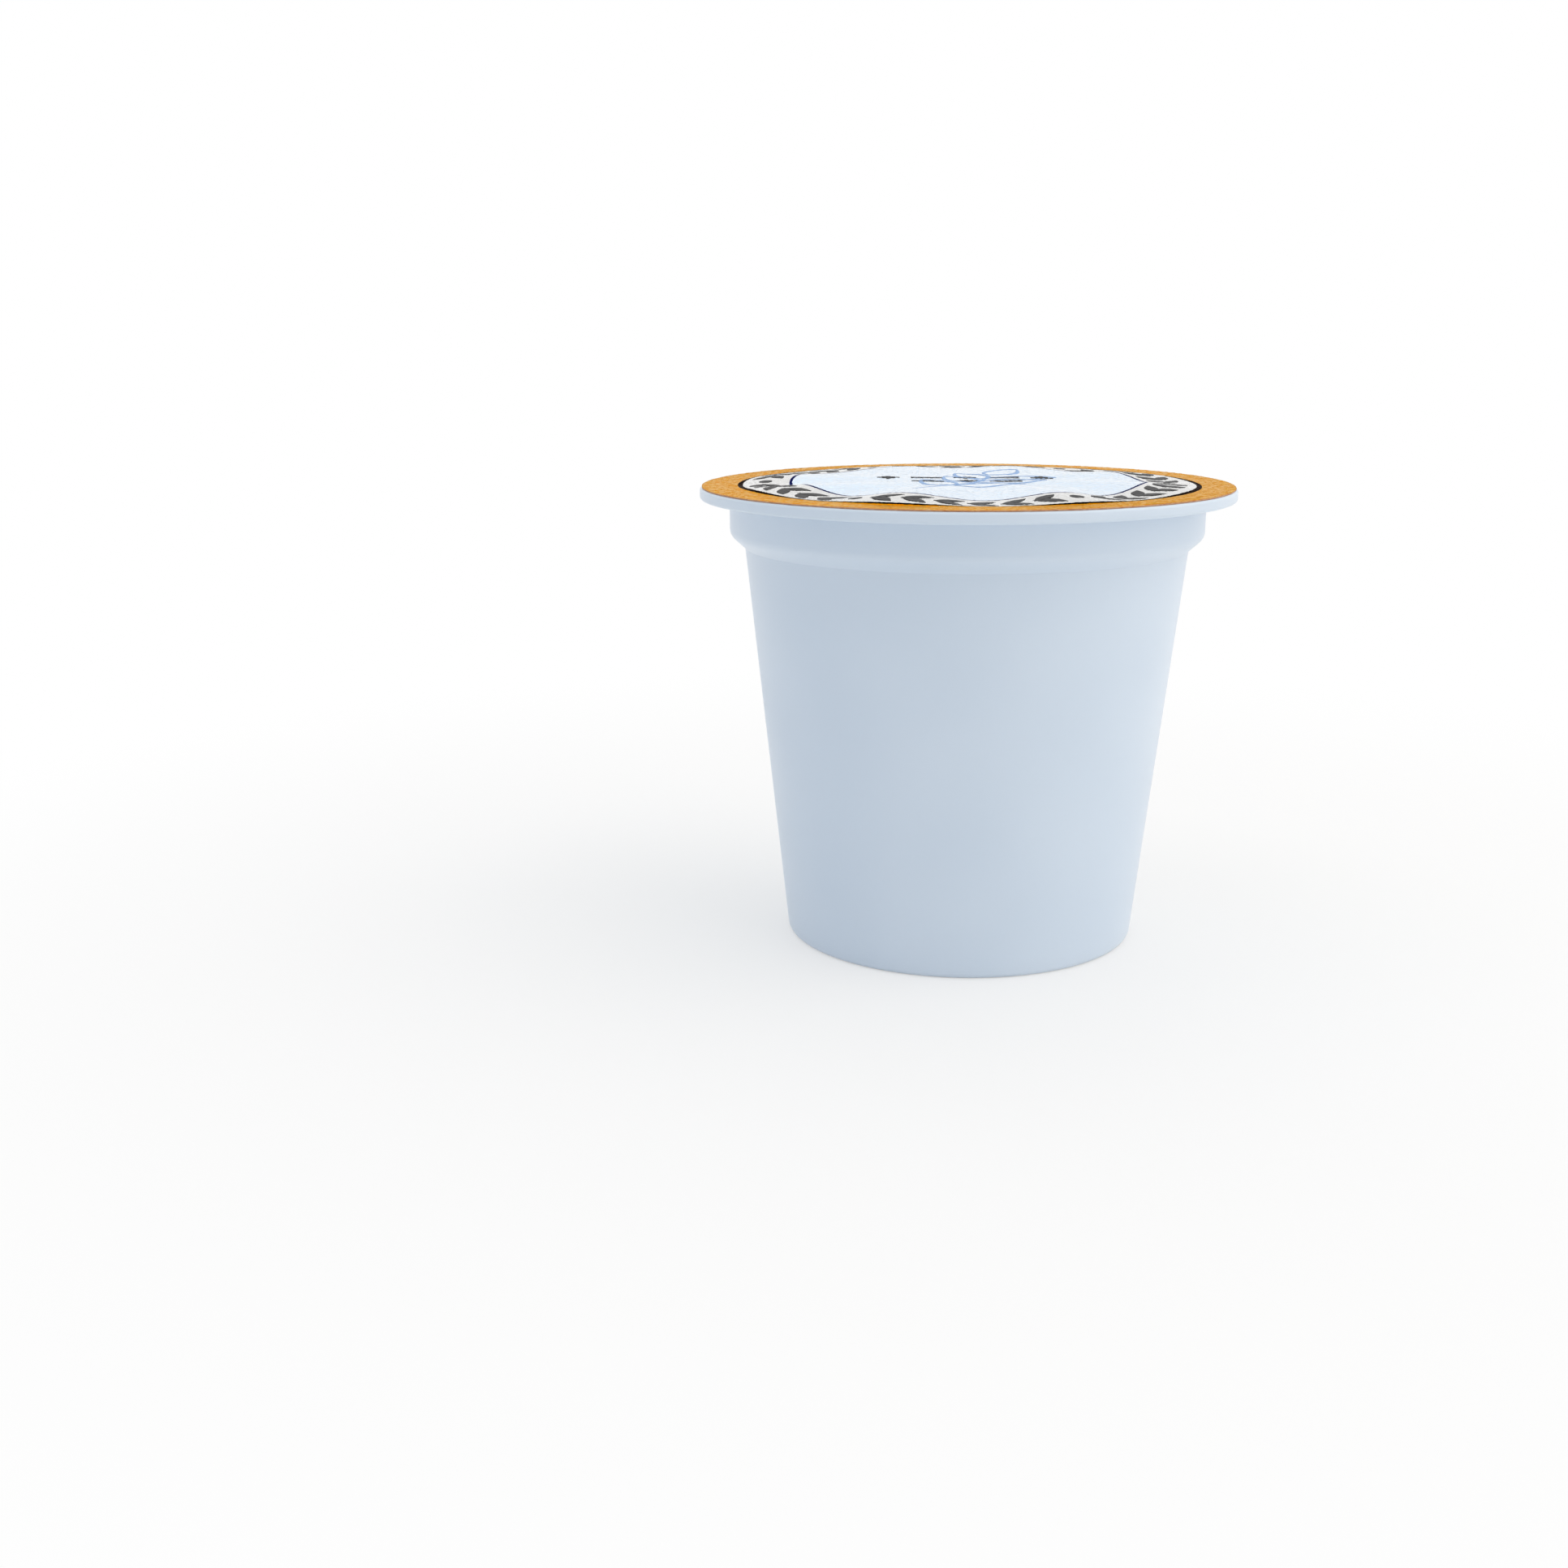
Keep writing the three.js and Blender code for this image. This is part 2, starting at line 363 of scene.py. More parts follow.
# %% The rule for the height of the foil
def foil_relief():
    """A node group that gives the foil's height above the sealed rim at any place."""
    tree, given, result = new_group("foil_relief", [
        ("Mouth radius", "Float", MOUTH_RADIUS),
        ("Dome height", "Float", DOME_HEIGHT),
        ("Pucker height", "Float", PUCKER_HEIGHT),
        ("Pucker count", "Float", PUCKER_COUNT),
        ("Pucker turn", "Float", PUCKER_TURN),
        ("Emboss depth", "Float", EMBOSS_DEPTH),
    ], [("Height", "Float")])
    position = add_node(tree, "GeometryNodeInputPosition")
    place = add_node(tree, "ShaderNodeVectorMath", {0: position, 1: (1, 1, 0)}, operation="MULTIPLY")
    distance = add_node(tree, "ShaderNodeVectorMath", {0: place}, operation="LENGTH").outputs["Value"]
    inside = add_node(tree, "ShaderNodeMath", {
        0: distance, 1: given["Mouth radius"]}, operation="DIVIDE", use_clamp=True)
    square = add_node(tree, "ShaderNodeMath", {0: inside, 1: inside}, operation="MULTIPLY")
    fourth = add_node(tree, "ShaderNodeMath", {0: square, 1: square}, operation="MULTIPLY")
    fall = add_node(tree, "ShaderNodeMath", {0: 1.0, 1: fourth}, operation="SUBTRACT")
    axes = add_node(tree, "ShaderNodeSeparateXYZ", {0: place}).outputs
    angle = add_node(tree, "ShaderNodeMath", {0: axes["Y"], 1: axes["X"]}, operation="ARCTAN2")
    noise = add_node(tree, "ShaderNodeTexNoise", {
        "Vector": place, "Scale": 1 / MOUTH_RADIUS, "Detail": 0.0}, noise_dimensions="2D")
    drift = add_node(tree, "ShaderNodeMath", {0: noise, 1: 0.5}, operation="SUBTRACT")
    swing = add_node(tree, "ShaderNodeMath", {
        0: angle, 1: given["Pucker count"], 2: given["Pucker turn"]}, operation="MULTIPLY_ADD")
    swing = add_node(tree, "ShaderNodeMath", {0: drift, 1: PUCKER_DRIFT, 2: swing}, operation="MULTIPLY_ADD")
    wave = add_node(tree, "ShaderNodeMath", {0: swing}, operation="SINE")
    wave = add_node(tree, "ShaderNodeMath", {0: wave, 1: PUCKER_CREASE}, operation="MULTIPLY")
    creased = add_node(tree, "ShaderNodeMath", {0: wave}, operation="ARCSINE")
    ring = add_node(tree, "ShaderNodeMath", {0: square, 1: fall}, operation="MULTIPLY")
    peak = RING_PEAK * math.asin(PUCKER_CREASE)
    ring = add_node(tree, "ShaderNodeMath", {0: ring, 1: peak}, operation="DIVIDE")
    uneven = add_node(tree, "ShaderNodeMapRange", {
        "Value": axes["Y"], "From Min": -MOUTH_RADIUS, "From Max": MOUTH_RADIUS,
        "To Min": 1.0, "To Max": PUCKER_AT_BACK})
    ring = add_node(tree, "ShaderNodeMath", {0: ring, 1: uneven}, operation="MULTIPLY")
    pucker = add_node(tree, "ShaderNodeMath", {0: creased, 1: ring}, operation="MULTIPLY")
    pucker = add_node(tree, "ShaderNodeMath", {0: pucker, 1: given["Pucker height"]}, operation="MULTIPLY")
    dome = add_node(tree, "ShaderNodeMath", {
        0: fall, 1: given["Dome height"], 2: pucker}, operation="MULTIPLY_ADD")
    height = add_node(tree, "ShaderNodeMath", {
        0: embossing(tree, place), 1: given["Emboss depth"], 2: dome}, operation="MULTIPLY_ADD")
    tree.links.new(height.outputs[0], result["Height"])
    return tree


relief = foil_relief()
print("foil relief:", len(relief.nodes), "nodes")

# %% [markdown]
# The foil starts as a square grid of fine cells, bent into a disc. Its cells stay alike,
# where the rings of a round grid would crowd at the middle, and the embossing needs cells
# of a fifth of a millimetre everywhere. Each point is then lifted by the rule. The rim is
# drawn down to the flange and the underside is closed, because a lid is a solid with a
# thickness, and its cut edge shows.

# %% Grow the foil disc with Geometry Nodes
DISC_CELLS = 305
CUT_WANDER = 0.0016
CUT_WANDER_SCALE = 9.0
MERGE_DISTANCE = 0.001 * MM


def bend_to_disc(tree, grid, radius):
    """Bends a square grid into a disc, with the small wander of a die-cut edge."""
    position = add_node(tree, "GeometryNodeInputPosition")
    axes = add_node(tree, "ShaderNodeSeparateXYZ", {0: position}).outputs
    bent = []
    for along, across in (("X", "Y"), ("Y", "X")):
        square = add_node(tree, "ShaderNodeMath", {0: axes[across], 1: axes[across]}, operation="MULTIPLY")
        left = add_node(tree, "ShaderNodeMath", {0: square, 1: -0.5, 2: 1.0}, operation="MULTIPLY_ADD")
        shrink = add_node(tree, "ShaderNodeMath", {0: left}, operation="SQRT")
        bent.append(add_node(tree, "ShaderNodeMath", {0: axes[along], 1: shrink}, operation="MULTIPLY"))
    flat = add_node(tree, "ShaderNodeCombineXYZ", {"X": bent[0], "Y": bent[1]})
    wander = add_node(tree, "ShaderNodeTexNoise", {
        "Vector": flat, "Scale": CUT_WANDER_SCALE, "Detail": 2.0}, noise_dimensions="2D")
    size = add_node(tree, "ShaderNodeMapRange", {
        "Value": wander.outputs[0], "To Min": 1.0 - CUT_WANDER, "To Max": 1.0 + CUT_WANDER})
    size = add_node(tree, "ShaderNodeMath", {0: size, 1: radius}, operation="MULTIPLY")
    place = add_node(tree, "ShaderNodeVectorMath", {0: flat, "Scale": size}, operation="SCALE")
    return add_node(tree, "GeometryNodeSetPosition", {"Geometry": grid, "Position": place})


def at_height(tree, geometry, height, selection=True):
    """Puts the selected points at a height, and keeps their place as seen from above."""
    position = add_node(tree, "GeometryNodeInputPosition")
    axes = add_node(tree, "ShaderNodeSeparateXYZ", {0: position}).outputs
    place = add_node(tree, "ShaderNodeCombineXYZ", {"X": axes["X"], "Y": axes["Y"], "Z": height})
    return add_node(tree, "GeometryNodeSetPosition", {
        "Geometry": geometry, "Selection": selection, "Position": place})


def foil_disc():
    """The tree that makes the lid: disc, relief, rim and underside."""
    tree, given, result = new_group("embossed_foil_disc", [
        ("Geometry", "Geometry", None),
        ("Radius", "Float", LID_RADIUS),
        ("Top", "Float", LID_TOP),
        ("Seat", "Float", CUP_HEIGHT),
        ("Cells", "Int", DISC_CELLS),
        ("Foil", "Material", None),
        ("Cut edge", "Material", None),
    ], [("Geometry", "Geometry")])
    grid = add_node(tree, "GeometryNodeMeshGrid", {
        "Size X": 2.0, "Size Y": 2.0, "Vertices X": given["Cells"], "Vertices Y": given["Cells"]})
    disc = bend_to_disc(tree, grid, given["Radius"])
    lift = add_node(tree, "GeometryNodeGroup", node_tree=relief)
    surface = add_node(tree, "ShaderNodeMath", {0: given["Top"], 1: lift}, operation="ADD")
    disc = at_height(tree, disc, surface)
    faces_beside = add_node(tree, "GeometryNodeInputMeshEdgeNeighbors")
    border = add_node(tree, "FunctionNodeCompare", {
        2: faces_beside, 3: 1}, data_type="INT", operation="EQUAL")
    rim = add_node(tree, "GeometryNodeExtrudeMesh", {
        "Mesh": disc, "Selection": border, "Offset Scale": 0.0}, mode="EDGES")
    walled = at_height(tree, rim, given["Seat"], rim.outputs["Top"])
    inked = add_node(tree, "GeometryNodeSetMaterial", {"Geometry": walled, "Material": given["Foil"]})
    edged = add_node(tree, "GeometryNodeSetMaterial", {
        "Geometry": inked, "Selection": rim.outputs["Side"], "Material": given["Cut edge"]})
    loop = add_node(tree, "GeometryNodeMeshToCurve", {0: edged, "Selection": rim.outputs["Top"]})
    cap = at_height(tree, add_node(tree, "GeometryNodeFillCurve", {"Curve": loop}), given["Seat"])
    cap = add_node(tree, "GeometryNodeFlipFaces", {0: cap})
    cap = add_node(tree, "GeometryNodeSetMaterial", {"Geometry": cap, "Material": given["Cut edge"]})
    joined = add_node(tree, "GeometryNodeJoinGeometry", {0: edged})
    tree.links.new(cap.outputs[0], joined.inputs[0])
    closed = add_node(tree, "GeometryNodeMergeByDistance", {0: joined, "Distance": MERGE_DISTANCE})
    real = add_node(tree, "GeometryNodeRealizeInstances", {0: closed})
    tree.links.new(real.outputs[0], result["Geometry"])
    return tree


disc_tree = foil_disc()
print("foil disc:", len(disc_tree.nodes), "nodes")

# %% [markdown]
# The print is flat fields of lacquer over bright foil: an orange border, a black line, a bare
# silver band, a thin navy line and a pale blue middle. Each field ends at a radius, so one
# colour ramp over the distance from the print's centre draws them all, and a second ramp
# gives each its own share of metal, its roughness and its clear coat. The inks are clear and
# lie over foil, so what they mirror at a low angle is tinted too, which a third ramp sets.
# A little noise on the distance frays the edges as the embossing does. The print sits
# slightly off centre, as the cutting die never meets it exactly. Near the rim the ridges turn
# light in patches: painted glints of the embossing, and bare foil where pods rub on each
# other in their box and the ink has worn off.

# %% Radii and colours of the print
BORDER_END = 22.0 * MM
OUTER_LINE_END = 21.5 * MM
BAND_END = 17.05 * MM
INNER_LINE_END = 16.8 * MM
PRINT_OFFSET = (0.15 * MM, 0.2 * MM, 0.0)
FRAY = 0.07 * MM
FRAY_SIZE = 0.35 * MM
BORDER_ORANGE = "#c4650a"
BORDER_SHEEN = "#ffe468"
LINE_BLACK = "#1c1210"
BLACK_SHEEN = "#6a4632"
BAND_SILVER = "#bfbeba"
LINE_NAVY = "#202a52"
NAVY_SHEEN = "#5468a8"
CENTRE_BLUE = "#c0daf2"
CLEAR = "#ffffff"
# Light flecks on the ridges near the rim: painted glints, and bare foil where ink rubbed off.
GLINT_AND_BARE_FOIL = "#e4dfd8"
# Dark brown of the cut edge: partly the border's ink, partly painted shade of the seam between foil and
# flange.
CUT_EDGE_INK_AND_SHADE = "#9c5526"
CUT_LACQUER = "#d9b595"
EDGE_INK_AND_SHADE_SIZE = 0.5 * MM
GLINT_AND_RUB_SIZE = 1.4 * MM
GLINT_AND_RUB_RIM = 23.2 * MM
GLINT_AND_RUB_PATCHES = (0.54, 0.68)
COAT_ROUGHNESS = 0.16
PRINT_FIELDS = [
    (0.0, CENTRE_BLUE, CLEAR, 0.9, 0.2, 1.0),
    (INNER_LINE_END, LINE_NAVY, NAVY_SHEEN, 1.0, 0.35, 0.0),
    (BAND_END, BAND_SILVER, CLEAR, 0.9, 0.22, 1.0),
    (OUTER_LINE_END, LINE_BLACK, BLACK_SHEEN, 1.0, 0.35, 0.0),
    (BORDER_END, BORDER_ORANGE, BORDER_SHEEN, 1.0, 0.2, 0.0),
]


def printed_foil():
    """Lacquered foil with its print and its embossing."""
    material, tree, shader = new_material("lacquered_embossed_aluminium_foil")
    coordinates = add_node(tree, "ShaderNodeTexCoord").outputs["Object"]
    place = add_node(tree, "ShaderNodeVectorMath", {0: coordinates, 1: (1, 1, 0)}, operation="MULTIPLY")
    centred = add_node(tree, "ShaderNodeVectorMath", {0: place, 1: PRINT_OFFSET}, operation="SUBTRACT")
    distance = add_node(tree, "ShaderNodeVectorMath", {0: centred}, operation="LENGTH").outputs["Value"]
    noise = add_node(tree, "ShaderNodeTexNoise", {
        "Vector": place, "Scale": 1 / FRAY_SIZE, "Detail": 1.0}, noise_dimensions="2D")
    fray = add_node(tree, "ShaderNodeMapRange", {"Value": noise.outputs[0], "To Min": -FRAY, "To Max": FRAY})
    frayed = add_node(tree, "ShaderNodeMath", {0: distance, 1: fray}, operation="ADD")
    share = add_node(tree, "ShaderNodeMath", {0: frayed, 1: LID_RADIUS}, operation="DIVIDE")
    ramps = []
    for colours in (
            [linear(ink) for _, ink, *_ in PRINT_FIELDS],
            [linear(tint) for _, _, tint, *_ in PRINT_FIELDS],
            [(*finishes, 1.0) for _, _, _, *finishes in PRINT_FIELDS]):
        ramps.append(add_node(tree, "ShaderNodeValToRGB", {0: share}))
        ramp = ramps[-1].color_ramp
        ramp.interpolation = "CONSTANT"
        while len(ramp.elements) < len(colours):
            ramp.elements.new(1.0)
        for element, (start, *_), colour in zip(ramp.elements, PRINT_FIELDS, colours):
            element.position = start / LID_RADIUS
            element.color = colour
    inks, tints, finish = ramps
    parts = add_node(tree, "ShaderNodeSeparateColor", {0: finish})
    ridges = embossing(tree, place)
    bump = add_node(tree, "ShaderNodeBump", {"Height": ridges, "Distance": EMBOSS_DEPTH})
    # Painted glints: ridges near the rim turn light in patches, which also stands for ink rubbed off to bare
    # foil.
    patches = add_node(tree, "ShaderNodeTexNoise", {
        "Vector": place, "Scale": 1 / GLINT_AND_RUB_SIZE, "Detail": 2.0}, noise_dimensions="2D")
    glint_and_rub_patches = add_node(tree, "ShaderNodeMapRange", {
        "Value": patches, "From Min": GLINT_AND_RUB_PATCHES[0], "From Max": GLINT_AND_RUB_PATCHES[1]})
    at_rim = add_node(tree, "ShaderNodeMapRange", {
        "Value": distance, "From Min": GLINT_AND_RUB_RIM, "From Max": LID_RADIUS})
    glint_and_rub_patches = add_node(tree, "ShaderNodeMath", {0: glint_and_rub_patches, 1: at_rim}, operation="MULTIPLY")
    glint_and_bare = add_node(tree, "ShaderNodeMath", {0: glint_and_rub_patches, 1: ridges}, operation="MULTIPLY")
    glinting_worn_ink = add_node(tree, "ShaderNodeMix", {"Factor": glint_and_bare}, data_type="RGBA")
    tree.links.new(inks.outputs["Color"], glinting_worn_ink.inputs["A"])
    glinting_worn_ink.inputs["B"].default_value = linear(GLINT_AND_BARE_FOIL)
    tree.links.new(glinting_worn_ink.outputs["Result"], shader.inputs["Base Color"])
    tree.links.new(tints.outputs["Color"], shader.inputs["Specular Tint"])
    tree.links.new(parts.outputs["Red"], shader.inputs["Metallic"])
    tree.links.new(parts.outputs["Green"], shader.inputs["Roughness"])
    tree.links.new(parts.outputs["Blue"], shader.inputs["Coat Weight"])
    tree.links.new(bump.outputs["Normal"], shader.inputs["Normal"])
    tree.links.new(bump.outputs["Normal"], shader.inputs["Coat Normal"])
    shader.inputs["Coat Roughness"].default_value = COAT_ROUGHNESS
    return material


def cut_laminate():
    """The cut edge and the underside: sealing lacquer, mottled with a dark brown that is partly the border's
    ink and partly painted shade of the seam.
    """
    material, tree, shader = new_material("die_cut_laminate_edge")
    coordinates = add_node(tree, "ShaderNodeTexCoord").outputs["Object"]
    noise = add_node(tree, "ShaderNodeTexNoise", {"Vector": coordinates, "Scale": 1 / EDGE_INK_AND_SHADE_SIZE})
    # Painted shade: the cut edge is mottled dark brown, which draws the shade line along the seam.
    tone = add_node(tree, "ShaderNodeMix", {"Factor": noise.outputs[0]}, data_type="RGBA")
    tone.inputs["A"].default_value = linear(CUT_EDGE_INK_AND_SHADE)
    tone.inputs["B"].default_value = linear(CUT_LACQUER)
    tree.links.new(tone.outputs["Result"], shader.inputs["Base Color"])
    shader.inputs["Roughness"].default_value = 0.6
    return material


foil_material = printed_foil()
edge_material = cut_laminate()
print("print fields:", len(PRINT_FIELDS))

# %% [markdown]
# A Geometry Nodes tree runs on an object through a modifier. Its inputs are set by each
# socket's identifier, because two inputs may share a name. The finished shape is then copied
# out as a plain mesh, and the modifier goes, so what is left is as simple as the cup.

# %% Run the tree and keep the plain mesh
def grow(name, start, tree, given):
    """Runs a tree on a starting mesh and returns an object with the plain result."""
    bpy.context.scene.collection.objects.link(start)
    modifier = start.modifiers.new(name, "NODES")
    modifier.node_group = tree
    for item in tree.interface.items_tree:
        if item.in_out == "INPUT" and item.name in given:
            modifier[item.identifier] = given[item.name]
    evaluated = start.evaluated_get(bpy.context.evaluated_depsgraph_get())
    mesh = bpy.data.meshes.new_from_object(evaluated)
    start.modifiers.remove(modifier)
    start.data = mesh
    start.name = mesh.name = name
    for index in reversed(range(len(mesh.materials))):
        if mesh.materials[index] is None:
            mesh.materials.pop(index=index)
    mesh.shade_smooth()
    return start


def empty_start(name):
    """An object with an empty mesh, for a tree that makes all of its shape."""
    return bpy.data.objects.new(name, bpy.data.meshes.new(name))


lid = grow("foil_disc", empty_start("foil_disc"), disc_tree, {
    "Radius": LID_RADIUS, "Top": LID_TOP, "Seat": CUP_HEIGHT, "Cells": DISC_CELLS,
    "Foil": foil_material, "Cut edge": edge_material})
print("foil disc:", len(lid.data.polygons), "faces")

# %% [markdown]
# Ink is a film on the foil, so each printed mark is drawn flat first and then draped: every
# point is lifted to the foil by the same rule, the film is thickened a little, and its
# underside is closed. The rule is the group that shaped the foil, so ink and foil can't part.

# %% Drape flat marks on the foil
INK_SINK = 0.012 * MM
INK_THICKNESS = 0.03 * MM


def drape_group():
    """A node group that lays flat faces on the foil as a closed film of ink."""
    tree, given, result = new_group("draped_ink", [
        ("Geometry", "Geometry", None),
        ("Top", "Float", LID_TOP),
        ("Sink", "Float", INK_SINK),
        ("Thickness", "Float", INK_THICKNESS),
        ("Ink", "Material", None),
    ], [("Geometry", "Geometry")])
    lift = add_node(tree, "GeometryNodeGroup", node_tree=relief)
    surface = add_node(tree, "ShaderNodeMath", {0: given["Top"], 1: lift}, operation="ADD")
    bottom = add_node(tree, "ShaderNodeMath", {0: surface, 1: given["Sink"]}, operation="SUBTRACT")
    film = at_height(tree, given["Geometry"], bottom)
    raised = add_node(tree, "GeometryNodeExtrudeMesh", {
        "Mesh": film, "Offset": (0, 0, 1), "Offset Scale": given["Thickness"], "Individual": False})
    under = add_node(tree, "GeometryNodeFlipFaces", {0: film})
    joined = add_node(tree, "GeometryNodeJoinGeometry", {0: raised})
    tree.links.new(under.outputs[0], joined.inputs[0])
    closed = add_node(tree, "GeometryNodeMergeByDistance", {0: joined, "Distance": MERGE_DISTANCE})
    real = add_node(tree, "GeometryNodeRealizeInstances", {0: closed})
    inked = add_node(tree, "GeometryNodeSetMaterial", {"Geometry": real, "Material": given["Ink"]})
    tree.links.new(inked.outputs[0], result["Geometry"])
    return tree


drape = drape_group()
print("drape:", len(drape.nodes), "nodes")

# %% [markdown]
# Printing ink is nearly matt when thick. On the ridges of the embossing its colour turns
# paler: partly a trace of foil where the ink thinned as the embossing rose under the roller,
# partly painted glints of the ridges. One function makes all three inks: the black of the
# ring, the pale blue of the line drawing and the black of the ink-jet marks.

# %% Printing inks
def printing_ink(name, colour, glint_and_thin_ink_colour, glint_and_thinning):
    """Ink that is paler on the ridges of the embossing: thinner there, and with painted glints."""
    material, tree, shader = new_material(name)
    coordinates = add_node(tree, "ShaderNodeTexCoord").outputs["Object"]
    place = add_node(tree, "ShaderNodeVectorMath", {0: coordinates, 1: (1, 1, 0)}, operation="MULTIPLY")
    ridges = embossing(tree, place)
    # Painted glints: the ridges turn toward the paler colour, which partly stands for thinner ink.
    thin = add_node(tree, "ShaderNodeMath", {0: ridges, 1: glint_and_thinning}, operation="MULTIPLY")
    tone = add_node(tree, "ShaderNodeMix", {"Factor": thin}, data_type="RGBA")
    tone.inputs["A"].default_value = linear(colour)
    tone.inputs["B"].default_value = linear(glint_and_thin_ink_colour)
    bump = add_node(tree, "ShaderNodeBump", {"Height": ridges, "Distance": EMBOSS_DEPTH})
    tree.links.new(tone.outputs["Result"], shader.inputs["Base Color"])
    tree.links.new(bump.outputs["Normal"], shader.inputs["Normal"])
    shader.inputs["Roughness"].default_value = 0.45
    shader.inputs["Specular IOR Level"].default_value = 0.12
    return material


ring_ink = printing_ink("flexographic_black_ink", "#100c0c", "#5a5c60", 0.2)
drawing_ink = printing_ink("flexographic_pale_blue_ink", "#8aaddb", "#b4cfec", 0.5)
jet_ink = printing_ink("ink_jet_black_ink", "#0c0c12", "#4a4c52", 0.15)
print("inks:", ring_ink.name, drawing_ink.name, jet_ink.name)

# %% [markdown]
# The silver band carries a garland of leaves in pairs, broken by six berries. Every leaf is
# the same shape, so the tree bends one small grid into a leaf, and then sets copies of it at
# even steps round the ring: one row that leans out and one that leans in. The copies are
# made real before they are draped, because each lands on other ridges.

# %% Grow the ring of leaves
RING_STEPS = 42
STEPS_TO_BERRY = 7
RING_RADIUS = 19.3 * MM
ROW_SPREAD = 0.66 * MM
LEAF_LENGTH = 3.1 * MM
LEAF_WIDTH = 1.25 * MM
LEAF_SPLAY = math.radians(33)
BERRY_SIZE = 1.3 * MM
LEAF_GRID = (6, 15)
BERRY_GRID = 7


def leaf_shape(tree, length, width):
    """A flat leaf: a small grid whose width follows a cosine from tip to tip."""
    grid = add_node(tree, "GeometryNodeMeshGrid", {
        "Size X": 1.0, "Size Y": 1.0, "Vertices X": LEAF_GRID[0], "Vertices Y": LEAF_GRID[1]})
    axes = add_node(tree, "ShaderNodeSeparateXYZ", {0: add_node(tree, "GeometryNodeInputPosition")}).outputs
    turned = add_node(tree, "ShaderNodeMath", {0: axes["Y"], 1: math.pi}, operation="MULTIPLY")
    narrowing = add_node(tree, "ShaderNodeMath", {0: turned}, operation="COSINE")
    half = add_node(tree, "ShaderNodeMath", {0: narrowing, 1: axes["X"]}, operation="MULTIPLY")
    across = add_node(tree, "ShaderNodeMath", {0: half, 1: width}, operation="MULTIPLY")
    along = add_node(tree, "ShaderNodeMath", {0: axes["Y"], 1: length}, operation="MULTIPLY")
    place = add_node(tree, "ShaderNodeCombineXYZ", {"X": across, "Y": along})
    return add_node(tree, "GeometryNodeSetPosition", {"Geometry": grid, "Position": place})


def berry_shape(tree, size):
    """A flat round berry: the square grid bent as the foil was."""
    grid = add_node(tree, "GeometryNodeMeshGrid", {
        "Size X": 2.0, "Size Y": 2.0, "Vertices X": BERRY_GRID, "Vertices Y": BERRY_GRID})
    radius = add_node(tree, "ShaderNodeMath", {0: size, 1: 0.5}, operation="MULTIPLY")
    return bend_to_disc(tree, grid, radius)


def ring_points(tree, count, radius, offset):
    """Points at even steps round a ring, and the angle of each."""
    index = add_node(tree, "GeometryNodeInputIndex")
    turn = add_node(tree, "ShaderNodeMath", {0: index, 1: count}, operation="DIVIDE")
    angle = add_node(tree, "ShaderNodeMath", {0: turn, 1: 2 * math.pi}, operation="MULTIPLY")
    reach = add_node(tree, "ShaderNodeMath", {0: radius, 1: offset}, operation="ADD")
    east = add_node(tree, "ShaderNodeMath", {0: add_node(
        tree, "ShaderNodeMath", {0: angle}, operation="COSINE"), 1: reach}, operation="MULTIPLY")
    north = add_node(tree, "ShaderNodeMath", {0: add_node(
        tree, "ShaderNodeMath", {0: angle}, operation="SINE"), 1: reach}, operation="MULTIPLY")
    place = add_node(tree, "ShaderNodeCombineXYZ", {"X": east, "Y": north})
    return add_node(tree, "GeometryNodePoints", {"Count": count, "Position": place}), angle


def garland():
    """The tree that makes the ring of leaf pairs and berries."""
    tree, given, result = new_group("printed_garland", [
        ("Geometry", "Geometry", None),
        ("Steps", "Int", RING_STEPS),
        ("Steps to berry", "Int", STEPS_TO_BERRY),
        ("Ring radius", "Float", RING_RADIUS),
        ("Row spread", "Float", ROW_SPREAD),
        ("Leaf length", "Float", LEAF_LENGTH),
        ("Leaf width", "Float", LEAF_WIDTH),
        ("Berry size", "Float", BERRY_SIZE),
        ("Ink", "Material", None),
    ], [("Geometry", "Geometry")])
    leaf = leaf_shape(tree, given["Leaf length"], given["Leaf width"])
    step = add_node(tree, "ShaderNodeMath", {
        0: add_node(tree, "GeometryNodeInputIndex"), 1: given["Steps to berry"]}, operation="MODULO")
    is_leaf = add_node(tree, "FunctionNodeCompare", {0: step, 1: 0.5}, operation="GREATER_THAN")
    is_berry = add_node(tree, "FunctionNodeCompare", {0: step, 1: 0.5}, operation="LESS_THAN")
    joined = add_node(tree, "GeometryNodeJoinGeometry")
    for side in (1, -1):
        offset = add_node(tree, "ShaderNodeMath", {0: given["Row spread"], 1: side}, operation="MULTIPLY")
        points, angle = ring_points(tree, given["Steps"], given["Ring radius"], offset)
        lean = add_node(tree, "ShaderNodeMath", {0: angle, 1: -side * LEAF_SPLAY}, operation="ADD")
        turned = add_node(tree, "ShaderNodeCombineXYZ", {"Z": lean})
        row = add_node(tree, "GeometryNodeInstanceOnPoints", {
            "Points": points, "Selection": is_leaf, "Instance": leaf, "Rotation": turned})
        tree.links.new(row.outputs[0], joined.inputs[0])
    points = ring_points(tree, given["Steps"], given["Ring radius"], 0.0)[0]
    berries = add_node(tree, "GeometryNodeInstanceOnPoints", {
        "Points": points, "Selection": is_berry, "Instance": berry_shape(tree, given["Berry size"])})
    tree.links.new(berries.outputs[0], joined.inputs[0])
    real = add_node(tree, "GeometryNodeRealizeInstances", {0: joined})
    merged = add_node(tree, "GeometryNodeMergeByDistance", {0: real, "Distance": MERGE_DISTANCE})
    laid = add_node(tree, "GeometryNodeGroup", node_tree=drape)
    tree.links.new(merged.outputs[0], laid.inputs["Geometry"])
    tree.links.new(given["Ink"], laid.inputs["Ink"])
    tree.links.new(laid.outputs[0], result["Geometry"])
    return tree


